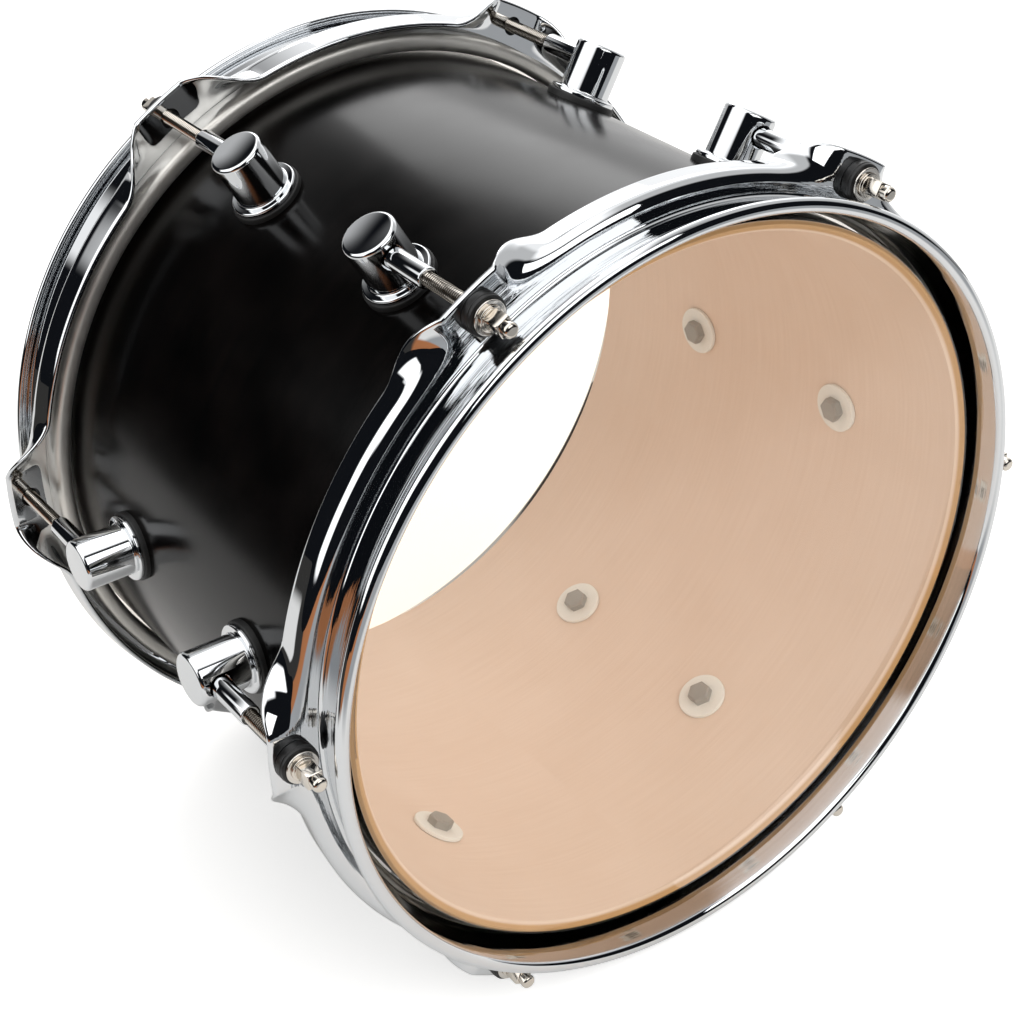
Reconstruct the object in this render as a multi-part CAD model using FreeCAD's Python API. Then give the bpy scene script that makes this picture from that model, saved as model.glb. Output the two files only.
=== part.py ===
import FreeCAD, Part
import math
import os

# A 12 inch tom drum lying on its side: wood shell, two film heads, pressed steel hoops,
# tension rods and round turret lugs. Sizes in mm. The drum axis runs along Y, the batter
# head faces -Y, the resonant head faces +Y, and the hoops rest on the floor at Z = 0.

# Shell
shell_diameter = 301.6
shell_wall = 4.6
shell_depth = 235.0
bearing_land = 0.8
bearing_round = 1.4

# Heads: one film and one channel ring at each end
film_thickness = 0.3
film_shell_gap = 0.2
film_bend_steps = 2
flesh_gap = 1.1
flesh_width = 7.4
flesh_height = 9.5
flesh_round = 2.6
channel_wall = 1.0
channel_width = 2.6
channel_depth = 6.5
head_seat_drop = 11.7

# Pressed hoops
hoop_sheet = 2.2
hoop_wall_gap = 3.5
hoop_wall_lean_deg = 9.0
rim_height = 11.7
rim_roll = 1.7
flange_fillet = 3.0
flange_reach = 5.6
flap_bend_length = 7.0
skirt_bend_deg = 97.0
ear_width = 24.4
ear_margin = 8.2
ear_blend = 30.0
ear_hole_clearance = 1.4
blend_steps = 8
flap_points = 11

# Tension rods
rod_count = 6
rod_standoff = 17.2
rod_diameter = 5.5
rod_engagement = 17.6
rod_end_chamfer = 0.6
rod_flange_diameter = 9.6
rod_flange_height = 1.4
key_square = 6.3
key_square_height = 7.0
key_nose_diameter = 6.0
key_nose_height = 4.0
key_corner = 0.6

# Washers under the rod heads
cushion_diameter = 15.4
cushion_height = 4.8
cushion_edge = 0.5
steel_washer_diameter = 12.8
steel_washer_height = 1.2
washer_clearance = 0.2

# Turret lugs
lug_row_spacing = 92.8
lug_crown = 7.7
lug_body_diameter = 21.2
lug_crown_round = 1.6
lug_flange_diameter = 27.4
lug_flange_height = 2.0
lug_flange_edge = 0.7
lug_neck_fillet = 1.0
gasket_diameter = 29.0
gasket_height = 2.1

# Swivel nuts
nut_diameter = 8.3
nut_reach = 31.6
nut_inset = 4.0
nut_edge = 0.5
nut_thread_depth = 28.0
nut_fit = 0.05
thread_fit = 0.08

# Screws that hold the lugs from inside the shell
screw_diameter = 5.0
screw_head_sides = 6
screw_head_across = 9.6
screw_head_height = 3.8
screw_head_edge = 0.7
screw_depth = 8.0
screw_fit = 0.05
screw_hole_clearance = 0.4
inner_washer_diameter = 22.0
inner_washer_height = 2.0
inner_washer_gap = 0.3

shell_radius = shell_diameter / 2
shell_inner_radius = shell_radius - shell_wall
half_depth = shell_depth / 2
rod_radius = shell_radius + rod_standoff
rod_pitch_deg = 360.0 / rod_count
rod_angles = [rod_pitch_deg * (index + 0.5) for index in range(rod_count)]
half_sheet = hoop_sheet / 2

# Heights along the drum axis, counted outward from the middle of the shell
flesh_top = half_depth - head_seat_drop
flange_mid = flesh_top + half_sheet
flange_top = flesh_top + hoop_sheet
rim_top = half_depth + rim_height
cushion_top = flange_top + cushion_height
washer_top = cushion_top + steel_washer_height
rod_flange_top = washer_top + rod_flange_height
key_top = rod_flange_top + key_square_height
lug_row = lug_row_spacing / 2
nut_end = lug_row + nut_reach
rod_end = nut_end - rod_engagement

# Radii of the lugs, counted from the drum axis
lug_base = shell_radius + gasket_height
lug_top = rod_radius + lug_crown
inner_washer_face = shell_inner_radius - inner_washer_height

# Hoop section
wall_mid = shell_radius + hoop_wall_gap + half_sheet
wall_lean = math.radians(hoop_wall_lean_deg)
rim_centre = rim_top - half_sheet - rim_roll
flange_root = wall_mid + flange_reach
ear_radius = rod_radius + ear_margin
flap_length = ear_radius - flange_root
skirt_bend = math.radians(skirt_bend_deg)
skirt_radius = flange_root + flap_bend_length / skirt_bend + half_sheet
ear_half_deg = math.degrees(math.asin(ear_width / 2 / ear_radius))
blend_deg = math.degrees(ear_blend / ear_radius)
axis_height = skirt_radius

axis = FreeCAD.Vector(0, 0, 1)
origin = FreeCAD.Vector(0, 0, 0)


def point(radius, height):
    return FreeCAD.Vector(radius, 0, height)


def line(start, end):
    return Part.LineSegment(start, end).toShape()


def arc(centre, radius, start_deg, end_deg):
    places = []
    for share in (0, 0.5, 1):
        turn = math.radians(start_deg + (end_deg - start_deg) * share)
        places.append(centre + point(radius * math.cos(turn), radius * math.sin(turn)))
    return Part.Arc(*places).toShape()


def spline(places):
    curve = Part.BSplineCurve()
    steps = len(places) - 1
    curve.interpolate(Points=places, Parameters=[step / steps for step in range(steps + 1)])
    return curve.toShape()


def ring(inner, outer, low, high):
    body = Part.makeCylinder(outer, high - low, point(0, low), axis)
    return body.cut(Part.makeCylinder(inner, high - low, point(0, low), axis))


def turned(places):
    wire = Part.makePolygon(places + places[:1])
    return Part.Face(wire).revolve(origin, axis, 360)


def around(shape, angle):
    copy = shape.copy()
    copy.rotate(origin, axis, angle)
    return copy


def around_all(shape):
    return [around(shape, angle) for angle in rod_angles]


def at_rod(shape):
    copy = shape.copy()
    copy.translate(point(rod_radius, 0))
    return copy


def radial(shape):
    copy = shape.copy()
    copy.rotate(origin, FreeCAD.Vector(0, 1, 0), 90)
    copy.translate(point(0, lug_row))
    return copy


def make_shell():
    land_outer = shell_radius - bearing_round
    land_inner = land_outer - bearing_land
    bevel = land_inner - shell_inner_radius
    corners = []
    for end in (1, -1):
        edge = [(shell_inner_radius, half_depth - bevel), (land_inner, half_depth)]
        edge += [(land_outer, half_depth), (shell_radius, half_depth - bearing_round)]
        corners.append([point(radius, end * height) for radius, height in edge])
    blank = turned(corners[0] + corners[1][::-1])
    holes = []
    hole_radius = screw_diameter / 2 + screw_hole_clearance
    for row in (lug_row, -lug_row):
        drill = Part.makeCylinder(hole_radius, shell_radius, point(0, row), point(1, 0))
        holes += around_all(drill)
    return blank.cut(Part.makeCompound(holes))


def make_film():
    seat = shell_radius - bearing_round
    bend = bearing_round + film_shell_gap
    collar = shell_radius + flesh_gap + channel_wall + film_thickness
    foot = flesh_top - channel_depth
    sides = []
    for layer in (0.0, film_thickness):
        places = [point(0, half_depth + layer)]
        for step in range(film_bend_steps + 1):
            turn = math.pi / 2 * (1 - step / film_bend_steps)
            reach = (bend + layer) * math.cos(turn)
            rise = (bend + layer) * math.sin(turn)
            places.append(point(seat + reach, half_depth - bend + rise))
        places.append(point(collar + layer, flesh_top))
        places.append(point(collar + layer, foot))
        sides.append(places)
    return turned(sides[0] + sides[1][::-1])


def make_flesh_hoop():
    inner = shell_radius + flesh_gap
    outer = inner + flesh_width
    bottom = flesh_top - flesh_height
    slot = inner + channel_wall
    floor = flesh_top - channel_depth
    bend = bottom + flesh_round
    places = [(inner, bend), (inner, flesh_top), (slot, flesh_top), (slot, floor)]
    places += [(slot + channel_width, floor), (slot + channel_width, flesh_top)]
    places += [(outer, flesh_top), (outer, bend)]
    corners = [point(radius, height) for radius, height in places]
    edges = [line(start, end) for start, end in zip(corners, corners[1:])]
    edges.append(arc(point(outer - flesh_round, bend), flesh_round, 0, -90))
    edges.append(line(point(outer - flesh_round, bottom), point(inner + flesh_round, bottom)))
    edges.append(arc(point(inner + flesh_round, bend), flesh_round, -90, -180))
    return Part.Face(Part.Wire(edges)).revolve(origin, axis, 360)


def flap_path(bend, offset):
    places = []
    for step in range(flap_points):
        run = flap_length * step / (flap_points - 1)
        curved = min(run, flap_bend_length)
        turn = bend * curved / flap_bend_length
        if bend > 0:
            size = flap_bend_length / bend
            reach = size * math.sin(turn)
            drop = size * (1 - math.cos(turn))
        else:
            reach = curved
            drop = 0.0
        straight = run - curved
        reach += straight * math.cos(turn) + offset * math.sin(turn)
        drop += straight * math.sin(turn) - offset * math.cos(turn)
        places.append(point(flange_root + reach, flange_mid - drop))
    tip = places[-1] - point(offset * math.sin(turn), offset * math.cos(turn))
    return places, tip + point(half_sheet * math.cos(turn), -half_sheet * math.sin(turn))


def hoop_section(bend):
    cove = point(wall_mid + flange_fillet, flange_mid + flange_fillet)
    rise = rim_centre - cove.z
    easing = rim_roll - flange_fillet
    run = easing * math.cos(wall_lean) + math.tan(wall_lean) * (rise + easing * math.sin(wall_lean))
    rim = cove + point(run, rise)
    inward = point(-math.cos(wall_lean), math.sin(wall_lean))
    turn = 180 - hoop_wall_lean_deg
    below, tip = flap_path(bend, -half_sheet)
    above, tip = flap_path(bend, half_sheet)
    edges = [arc(rim, rim_roll + half_sheet, 0, turn)]
    edges.append(line(rim + inward * (rim_roll + half_sheet), cove + inward * (flange_fillet + half_sheet)))
    edges.append(arc(cove, flange_fillet + half_sheet, turn, 270))
    edges.append(line(point(cove.x, flange_mid - half_sheet), below[0]))
    edges.append(spline(below))
    edges.append(Part.Arc(below[-1], tip, above[-1]).toShape())
    edges.append(spline(above[::-1]))
    edges.append(line(above[0], point(cove.x, flange_mid + half_sheet)))
    edges.append(arc(cove, flange_fillet - half_sheet, 270, turn))
    edges.append(line(cove + inward * (flange_fillet - half_sheet), rim + inward * (rim_roll - half_sheet)))
    edges.append(arc(rim, rim_roll - half_sheet, turn, 0))
    edges.append(arc(rim + point(rim_roll, 0), half_sheet, 180, 360))
    return Part.Wire(edges)


def make_hoop():
    ear = around(hoop_section(0.0), -ear_half_deg).revolve(origin, axis, 2 * ear_half_deg)
    sections = []
    for step in range(blend_steps + 1):
        share = step / blend_steps
        bend = skirt_bend * share * (1 + share - share * share)
        sections.append(around(hoop_section(bend), ear_half_deg + blend_deg * share))
    rising = Part.makeLoft(sections, False)
    falling = rising.mirror(origin, FreeCAD.Vector(0, 1, 0))
    skirt_start = ear_half_deg + blend_deg
    skirt = around(hoop_section(skirt_bend), skirt_start)
    skirt = skirt.revolve(origin, axis, rod_pitch_deg - 2 * skirt_start)
    faces = []
    for strip in (ear, rising, skirt, falling):
        for copy in around_all(strip):
            faces += copy.Faces
    skin = Part.Shell(faces)
    skin.sewShape()
    hole = Part.makeCylinder(rod_diameter / 2 + ear_hole_clearance, flange_top, point(rod_radius, 0))
    return Part.Solid(skin).cut(Part.makeCompound(around_all(hole))).Solids[0]


def make_rod():
    shaft = Part.makeCylinder(rod_diameter / 2, washer_top - rod_end, point(0, rod_end))
    end_edge = [edge for edge in shaft.Edges if edge.BoundBox.ZMax < rod_end + rod_end_chamfer]
    shaft = shaft.makeChamfer(rod_end_chamfer, end_edge)
    flange = Part.makeCylinder(rod_flange_diameter / 2, rod_flange_height, point(0, washer_top))
    corner = FreeCAD.Vector(-key_square / 2, -key_square / 2, rod_flange_top)
    key = Part.makeBox(key_square, key_square, key_square_height, corner)
    posts = [edge for edge in key.Edges if edge.BoundBox.ZLength > key_square]
    key = key.makeChamfer(key_corner, posts)
    nose_radius = key_nose_diameter / 2
    nose = Part.makeCylinder(nose_radius, key_nose_height, point(0, key_top))
    nose_edge = [edge for edge in nose.Edges if edge.BoundBox.ZMin > key_top]
    nose = nose.makeFillet(nose_radius / 2, nose_edge)
    return at_rod(shaft.fuse([flange, key, nose]))


def make_cushion():
    hole = rod_diameter / 2 + washer_clearance
    washer = ring(hole, cushion_diameter / 2, flange_top, cushion_top)
    rims = [edge for edge in washer.Edges if edge.BoundBox.XLength > 2 * cushion_diameter / 3]
    rims = [edge for edge in rims if edge.BoundBox.ZLength < cushion_edge]
    return at_rod(washer.makeFillet(cushion_edge, rims))


def make_steel_washer():
    hole = rod_diameter / 2 + washer_clearance
    return at_rod(ring(hole, steel_washer_diameter / 2, cushion_top, washer_top))


def make_lug():
    flange_radius = lug_flange_diameter / 2
    body_radius = lug_body_diameter / 2
    flange_top_height = lug_base + lug_flange_height
    places = [(0, lug_base), (flange_radius, lug_base)]
    places += [(flange_radius, flange_top_height - lug_flange_edge)]
    places += [(flange_radius - lug_flange_edge, flange_top_height)]
    places += [(body_radius + lug_neck_fillet, flange_top_height)]
    places += [(body_radius, flange_top_height + lug_neck_fillet), (body_radius, lug_top), (0, lug_top)]
    blank = turned([point(radius, height) for radius, height in places])
    crown = [edge for edge in blank.Edges if edge.BoundBox.ZMin > lug_top - lug_crown_round]
    crown = [edge for edge in crown if edge.BoundBox.YLength > body_radius]
    blank = radial(blank.makeFillet(lug_crown_round, crown))
    socket = Part.makeCylinder(nut_diameter / 2 + nut_fit, lug_row, point(rod_radius, lug_row - nut_inset))
    tapped = Part.makeCylinder(screw_diameter / 2 + screw_fit, screw_depth, point(0, lug_base))
    return blank.cut([socket, radial(tapped)])


def make_gasket():
    outer = gasket_diameter / 2
    inner = screw_diameter / 2 + screw_hole_clearance
    blank = radial(ring(inner, outer, shell_inner_radius, lug_base))
    return blank.cut(Part.makeCylinder(shell_radius, shell_depth))


def make_nut():
    low = lug_row - nut_inset
    body = Part.makeCylinder(nut_diameter / 2, nut_end - low, point(0, low))
    end_edge = [edge for edge in body.Edges if edge.BoundBox.ZMin > nut_end - nut_edge]
    body = body.makeChamfer(nut_edge, end_edge)
    thread_radius = rod_diameter / 2 + thread_fit
    bore = Part.makeCylinder(thread_radius, nut_thread_depth, point(0, nut_end - nut_thread_depth))
    return at_rod(body.cut(bore))


def make_screw():
    half_side = math.pi / screw_head_sides
    corner_radius = screw_head_across / 2 / math.cos(half_side)
    corners = []
    for corner in range(screw_head_sides):
        turn = 2 * half_side * corner
        corners.append(FreeCAD.Vector(corner_radius * math.cos(turn), corner_radius * math.sin(turn), 0))
    outline = Part.Face(Part.makePolygon(corners + corners[:1]))
    head_low = inner_washer_face - screw_head_height
    head = outline.extrude(axis * screw_head_height)
    head.translate(point(0, head_low))
    dome = Part.makeCylinder(corner_radius, screw_head_height, point(0, head_low))
    dome_edge = [edge for edge in dome.Edges if edge.BoundBox.ZMax < head_low + screw_head_edge]
    head = head.common(dome.makeChamfer(screw_head_edge, dome_edge))
    shank_top = lug_base + screw_depth - 2 * screw_fit
    shank = Part.makeCylinder(screw_diameter / 2, shank_top - inner_washer_face, point(0, inner_washer_face))
    return radial(head.fuse(shank))


def make_inner_washer():
    inner = screw_diameter / 2 + screw_hole_clearance
    blank = radial(ring(inner, inner_washer_diameter / 2, inner_washer_face, shell_radius))
    return blank.common(Part.makeCylinder(shell_inner_radius - inner_washer_gap, shell_depth))


def on_side(shape, across, along):
    columns = FreeCAD.Matrix(0, across, 0, 0, 0, 0, along, 0, 1, 0, 0, axis_height)
    return shape.transformed(columns, True)


def write(name, shape):
    shape.exportStep("parts/" + name + ".step")


os.makedirs("parts", exist_ok=True)
write("shell", on_side(make_shell(), -1, -1))

singles = {"film": make_film(), "flesh_hoop": make_flesh_hoop(), "hoop": make_hoop()}
numbered = {"rod": make_rod(), "lug": make_lug()}
grouped = {"cushion_washers": make_cushion(), "steel_washers": make_steel_washer()}
grouped["lug_gaskets"] = make_gasket()
grouped["swivel_nuts"] = make_nut()
grouped["lug_screws"] = make_screw()
grouped["screw_washers"] = make_inner_washer()

for side, across, along in (("batter", -1, -1), ("resonant", 1, 1)):
    for name, shape in singles.items():
        write(side + "_" + name, on_side(shape, across, along))
    for name, shape in numbered.items():
        for number, angle in enumerate(rod_angles, start=1):
            write(side + "_" + name + "_" + str(number), on_side(around(shape, angle), across, along))
    for name, shape in grouped.items():
        write(side + "_" + name, on_side(Part.makeCompound(around_all(shape)), across, along))
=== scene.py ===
import math

import bmesh
import bpy
from mathutils import Matrix, Vector


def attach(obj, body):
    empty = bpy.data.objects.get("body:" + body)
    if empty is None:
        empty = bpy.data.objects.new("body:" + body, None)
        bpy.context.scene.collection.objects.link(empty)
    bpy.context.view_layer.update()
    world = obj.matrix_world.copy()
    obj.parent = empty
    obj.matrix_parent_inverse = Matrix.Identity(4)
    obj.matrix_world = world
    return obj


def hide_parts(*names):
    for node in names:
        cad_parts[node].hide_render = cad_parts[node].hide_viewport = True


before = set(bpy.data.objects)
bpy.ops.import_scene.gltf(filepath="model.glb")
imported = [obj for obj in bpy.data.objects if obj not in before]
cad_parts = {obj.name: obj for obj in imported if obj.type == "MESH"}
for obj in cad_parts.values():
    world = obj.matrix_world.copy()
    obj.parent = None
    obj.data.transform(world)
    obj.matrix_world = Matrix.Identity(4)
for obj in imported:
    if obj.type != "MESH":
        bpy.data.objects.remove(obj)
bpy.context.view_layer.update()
print("frame loaded:", len(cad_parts), "nodes")

# The drum lies along Y. Pieces are drawn in mm round their own axis, then laid on their side.
mm = 0.001
noiseRange = (0.3, 0.7)  # most values of a noise texture lie in here
drum = {"axisHeight": 166.235, "rods": 6, "rodRadius": 168.0, "shellRadius": 150.8, "halfDepth": 117.5}
sides = {"batter": -1, "resonant": 1}


def hexToLinear(code):
    parts = [int(code[i:i + 2], 16) / 255 for i in (1, 3, 5)]
    return [p / 12.92 if p <= 0.04045 else ((p + 0.055) / 1.055) ** 2.4 for p in parts] + [1.0]


def addNode(tree, kind, values=None, **settings):
    node = tree.nodes.new(kind)
    for key, value in settings.items():
        setattr(node, key, value)
    for key, value in (values or {}).items():
        if isinstance(value, bpy.types.NodeSocket):
            tree.links.new(value, node.inputs[key])
        else:
            node.inputs[key].default_value = value
    return node


def addMath(tree, operation, *values):
    return addNode(tree, "ShaderNodeMath", dict(enumerate(values)), operation=operation).outputs[0]


def newMaterial(name):
    material = bpy.data.materials.new(name)
    material.use_nodes = True
    material.node_tree.nodes.clear()
    return material, material.node_tree


# Chrome over polished nickel: a mirror with faint buffing haze. The played hoop has polishing lines round its wall
# and rim, weaker on the inside, drawn coarser than the real ones so that they show.
chromeFinish = {"colour": "#D6D8DA", "roughness": 0.02, "haze": 0.05, "hazeSize": 14.0, "hazeRange": (0.45, 0.75),
                "lineSpacing": 1.6, "lineDepth": 0.16, "innerLines": 0.4, "linesFrom": 107.2, "linesFull": 108.6}


def makeChrome(name, buffed):
    material, tree = newMaterial(name)
    place = addNode(tree, "ShaderNodeTexCoord")
    haze = addNode(tree, "ShaderNodeTexNoise", {
        "Vector": place.outputs["Object"], "Scale": 1 / (chromeFinish["hazeSize"] * mm), "Detail": 3.0})
    low, high = chromeFinish["hazeRange"]
    rough = addNode(tree, "ShaderNodeMapRange", {
        "Value": haze.outputs["Fac"], "From Min": low, "From Max": high,
        "To Min": chromeFinish["roughness"], "To Max": chromeFinish["haze"]})
    shader = addNode(tree, "ShaderNodeBsdfPrincipled", {
        "Base Color": hexToLinear(chromeFinish["colour"]), "Metallic": 1.0, "Roughness": rough.outputs["Result"]})
    if buffed:
        axis = addNode(tree, "ShaderNodeMapping", {
            "Vector": place.outputs["Object"], "Location": (0, 0, -drum["axisHeight"] * mm)})
        flat = addNode(tree, "ShaderNodeVectorMath", {
            0: axis.outputs["Vector"], 1: (1, 0, 1)}, operation="MULTIPLY")
        radius = addNode(tree, "ShaderNodeVectorMath", {0: flat.outputs["Vector"]}, operation="LENGTH")
        along = addNode(tree, "ShaderNodeSeparateXYZ", {0: place.outputs["Object"]})
        ring = addNode(tree, "ShaderNodeCombineXYZ", {0: radius.outputs["Value"], 1: along.outputs["Y"]})
        lines = addNode(tree, "ShaderNodeTexNoise", {
            "Vector": ring.outputs["Vector"], "Scale": 1 / (chromeFinish["lineSpacing"] * mm), "Detail": 2.0})
        surface = addNode(tree, "ShaderNodeNewGeometry")
        facing = addNode(tree, "ShaderNodeVectorMath", {
            0: surface.outputs["Normal"], 1: flat.outputs["Vector"]}, operation="DOT_PRODUCT")
        outer = addMath(tree, "GREATER_THAN", facing.outputs["Value"], 0.0)
        inner = chromeFinish["innerLines"]
        most = addMath(tree, "MULTIPLY_ADD", outer, 1 - inner, inner)
        worn = addNode(tree, "ShaderNodeMapRange", {
            "Value": along.outputs["Y"], "From Min": -chromeFinish["linesFrom"] * mm,
            "From Max": -chromeFinish["linesFull"] * mm, "To Min": 0.0, "To Max": most})
        bump = addNode(tree, "ShaderNodeBump", {
            "Height": lines.outputs["Fac"], "Strength": worn.outputs["Result"],
            "Distance": chromeFinish["lineDepth"] * mm})
        tree.links.new(bump.outputs["Normal"], shader.inputs["Normal"])
    addNode(tree, "ShaderNodeOutputMaterial", {"Surface": shader.outputs["BSDF"]})
    return material


# Nickel-plated steel, rolled thread: a warm bright metal, a little softer than the chrome.
nickelFinish = {"colour": "#D4CDC3", "metal": 1.0, "roughness": 0.09, "spread": 0.06, "grainSize": 2.5}


def makePlated(name, finish):
    material, tree = newMaterial(name)
    place = addNode(tree, "ShaderNodeTexCoord")
    grain = addNode(tree, "ShaderNodeTexNoise", {
        "Vector": place.outputs["Object"], "Scale": 1 / (finish["grainSize"] * mm), "Detail": 4.0})
    rough = addNode(tree, "ShaderNodeMapRange", {
        "Value": grain.outputs["Fac"], "From Min": noiseRange[0], "From Max": noiseRange[1],
        "To Min": finish["roughness"], "To Max": finish["roughness"] + finish["spread"]})
    shader = addNode(tree, "ShaderNodeBsdfPrincipled", {
        "Base Color": hexToLinear(finish["colour"]), "Metallic": finish["metal"],
        "Roughness": rough.outputs["Result"]})
    addNode(tree, "ShaderNodeOutputMaterial", {"Surface": shader.outputs["BSDF"]})
    return material


# Grain along the sheet and slow clouds of colour, on the wall's unrolled map in mm. Sockets 6 and 7 of a mix node
# are its two colours.
def makeWood(tree, finish):
    unrolled = addNode(tree, "ShaderNodeUVMap", uv_map="unrolled").outputs["UV"]
    stretch = addNode(tree, "ShaderNodeMapping", {
        "Vector": unrolled, "Scale": (1 / finish["grainLength"], 1 / finish["grainWidth"], 1)})
    grain = addNode(tree, "ShaderNodeTexNoise", {
        "Vector": stretch.outputs["Vector"], "Scale": 1.0, "Detail": finish["grainDetail"]}).outputs["Fac"]
    cloud = addNode(tree, "ShaderNodeTexNoise", {
        "Vector": unrolled, "Scale": 1 / finish["cloudSize"], "Detail": finish["cloudDetail"]}).outputs["Fac"]
    both = addMath(tree, finish["mixing"], grain, cloud)
    low, high = finish["toneRange"]
    tone = addNode(tree, "ShaderNodeMapRange", {"Value": both, "From Min": low, "From Max": high})
    colour = addNode(tree, "ShaderNodeMix", {
        "Factor": tone.outputs["Result"], 6: hexToLinear(finish["deep"]), 7: hexToLinear(finish["pale"])},
        data_type="RGBA").outputs[2]
    return {"unrolled": unrolled, "grain": grain, "cloud": cloud, "colour": colour}


# Maple plies stained near black and sprayed with satin lacquer: a trace of brown, soft sheen, faint grain.
stainFinish = {"deep": "#010101", "pale": "#080504", "toneRange": (0.15, 0.4), "mixing": "MULTIPLY",
               "grainLength": 60.0, "grainWidth": 1.6, "grainDetail": 5.0, "cloudSize": 1000 / 35, "cloudDetail": 3.0,
               "roughness": 0.16, "spread": 0.06, "gloss": 0.19, "grainDepth": 0.02, "grainStrength": 0.25}


def makeStain():
    material, tree = newMaterial("stainedMaple")
    wood = makeWood(tree, stainFinish)
    rough = addNode(tree, "ShaderNodeMapRange", {
        "Value": wood["cloud"], "From Min": noiseRange[0], "From Max": noiseRange[1],
        "To Min": stainFinish["roughness"], "To Max": stainFinish["roughness"] + stainFinish["spread"]})
    bump = addNode(tree, "ShaderNodeBump", {
        "Height": wood["grain"], "Strength": stainFinish["grainStrength"],
        "Distance": stainFinish["grainDepth"] * mm})
    shader = addNode(tree, "ShaderNodeBsdfPrincipled", {
        "Base Color": wood["colour"], "Roughness": rough.outputs["Result"],
        "Specular IOR Level": stainFinish["gloss"], "Normal": bump.outputs["Normal"]})
    addNode(tree, "ShaderNodeOutputMaterial", {"Surface": shader.outputs["BSDF"]})
    return material


# Bare rotary-cut maple inside the shell: pale pinkish tan, fine pores and slow clouds of colour, and painted
# shade that darkens the bearing edge.
mapleFinish = {"deep": "#E4CEBC", "pale": "#EAD6C6", "toneRange": (0.7, 1.3), "mixing": "ADD",
               "grainLength": 45.0, "grainWidth": 1.2, "grainDetail": 4.0, "cloudSize": 50.0, "cloudDetail": 4.0,
               "paintedEdgeShade": "#C79F70", "edge": 115.8, "edgeBlend": 0.8, "roughness": 0.55, "gloss": 0.3}


def makeMaple():
    material, tree = newMaterial("bareMaple")
    wood = makeWood(tree, mapleFinish)
    parts = addNode(tree, "ShaderNodeSeparateXYZ", {0: wood["unrolled"]})
    along = addMath(tree, "ABSOLUTE", parts.outputs["Y"])
    # the band at the bearing edge is painted darker golden brown, a painted shade on the bevel
    edge = addNode(tree, "ShaderNodeMapRange", {
        "Value": along, "From Min": mapleFinish["edge"], "From Max": mapleFinish["edge"] + mapleFinish["edgeBlend"]})
    paintedEdgeShade = addNode(tree, "ShaderNodeMix", {
        "Factor": edge.outputs["Result"], 6: wood["colour"], 7: hexToLinear(mapleFinish["paintedEdgeShade"])}, data_type="RGBA")
    shader = addNode(tree, "ShaderNodeBsdfPrincipled", {
        "Base Color": paintedEdgeShade.outputs[2], "Roughness": mapleFinish["roughness"],
        "Specular IOR Level": mapleFinish["gloss"]})
    addNode(tree, "ShaderNodeOutputMaterial", {"Surface": shader.outputs["BSDF"]})
    return material


# Clear polyester film: sees through, with a thin gloss on the face towards the light.
filmFinish = {"tint": "#FFFDFA", "ior": 1.6, "roughness": 0.05}


def makeFilm():
    material, tree = newMaterial("clearPolyesterFilm")
    gloss = addNode(tree, "ShaderNodeFresnel", {"IOR": filmFinish["ior"]})
    facing = addNode(tree, "ShaderNodeNewGeometry")
    front = addMath(tree, "SUBTRACT", 1.0, facing.outputs["Backfacing"])
    share = addMath(tree, "MULTIPLY", gloss.outputs["Fac"], front)
    clear = addNode(tree, "ShaderNodeBsdfTransparent", {"Color": hexToLinear(filmFinish["tint"])})
    shine = addNode(tree, "ShaderNodeBsdfGlossy", {"Roughness": filmFinish["roughness"]})
    mixed = addNode(tree, "ShaderNodeMixShader", {
        0: share, 1: clear.outputs["BSDF"], 2: shine.outputs["BSDF"]})
    addNode(tree, "ShaderNodeOutputMaterial", {"Surface": mixed.outputs["Shader"]})
    return material


# Moulded black nylon and rubber: dull, with a fine moulded grain.
mouldedGrain = {"spread": 0.15, "strength": 0.3, "depth": 0.05}


def makeMoulded(name, finish):
    material, tree = newMaterial(name)
    place = addNode(tree, "ShaderNodeTexCoord")
    grain = addNode(tree, "ShaderNodeTexNoise", {
        "Vector": place.outputs["Object"], "Scale": 1 / (finish["grainSize"] * mm), "Detail": 3.0})
    rough = addNode(tree, "ShaderNodeMapRange", {
        "Value": grain.outputs["Fac"], "From Min": noiseRange[0], "From Max": noiseRange[1],
        "To Min": finish["roughness"], "To Max": finish["roughness"] + mouldedGrain["spread"]})
    bump = addNode(tree, "ShaderNodeBump", {
        "Height": grain.outputs["Fac"], "Strength": mouldedGrain["strength"],
        "Distance": mouldedGrain["depth"] * mm})
    shader = addNode(tree, "ShaderNodeBsdfPrincipled", {
        "Base Color": hexToLinear(finish["colour"]), "Roughness": rough.outputs["Result"],
        "Normal": bump.outputs["Normal"]})
    addNode(tree, "ShaderNodeOutputMaterial", {"Surface": shader.outputs["BSDF"]})
    return material


hoopChrome = makeChrome("chromedPressedSteel", True)
lugChrome = makeChrome("chromedDieCasting", False)
rodNickel = makePlated("nickelledSteel", nickelFinish)
# oil and dirt between the thread's turns, darkened further by painted shade in the thread's root
threadGreaseAndShade = makePlated("greasedAndShadedThreadRoot", {
    "colour": "#3B3022", "metal": 0.4, "roughness": 0.5, "spread": 0.1, "grainSize": 2.0})
washerSteel = makePlated("brightSteelWasher", {
    "colour": "#D2CDC6", "metal": 1.0, "roughness": 0.12, "spread": 0.06, "grainSize": 2.0})
fleshAluminium = makePlated("satinAluminium", {
    "colour": "#E3E0DA", "metal": 1.0, "roughness": 0.4, "spread": 0.1, "grainSize": 6.0})
screwZinc = makePlated("greyZincScrew", {
    "colour": "#A3A09A", "metal": 0.3, "roughness": 0.5, "spread": 0.1, "grainSize": 2.0})
washerZinc = makePlated("dullZincWasher", {
    "colour": "#EDEEEA", "metal": 0.0, "roughness": 0.6, "spread": 0.1, "grainSize": 2.0})
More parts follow.
